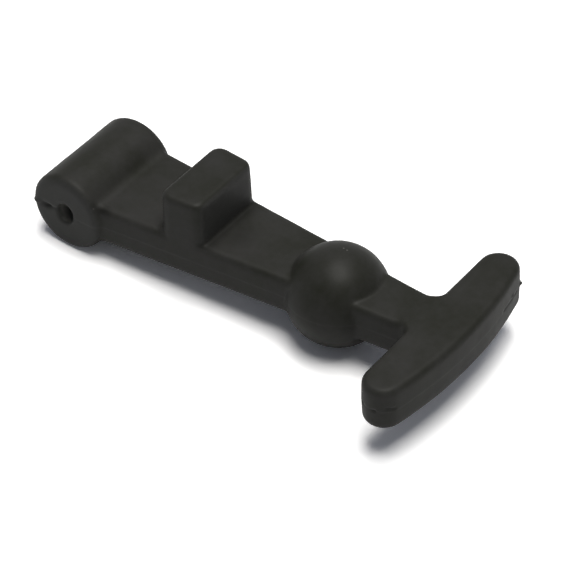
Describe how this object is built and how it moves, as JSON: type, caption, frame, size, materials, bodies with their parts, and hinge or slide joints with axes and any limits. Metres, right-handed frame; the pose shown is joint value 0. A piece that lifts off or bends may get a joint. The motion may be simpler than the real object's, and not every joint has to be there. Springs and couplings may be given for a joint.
{
  "type": "rubber t-handle draw latch strap",
  "caption": "Flexible moulded rubber draw latch: a pin barrel, a tapering strap with a stop lug, a ball that seats behind a keeper, and a T pull handle.",
  "frame": {"origin": "middle of the pin bore, on its axis, halfway along the barrel", "axes": "+Y along the pin bore, +X down the strap from the barrel to the T handle, +Z out of the outer face, the side the stop lug stands on"},
  "size_m": [0.1023, 0.0494, 0.0267],
  "materials": {
    "black_rubber": "satin moulded black rubber"
  },
  "bodies": {
    "root": {"draw_latch": "black_rubber"}
  },
  "joints": []
}
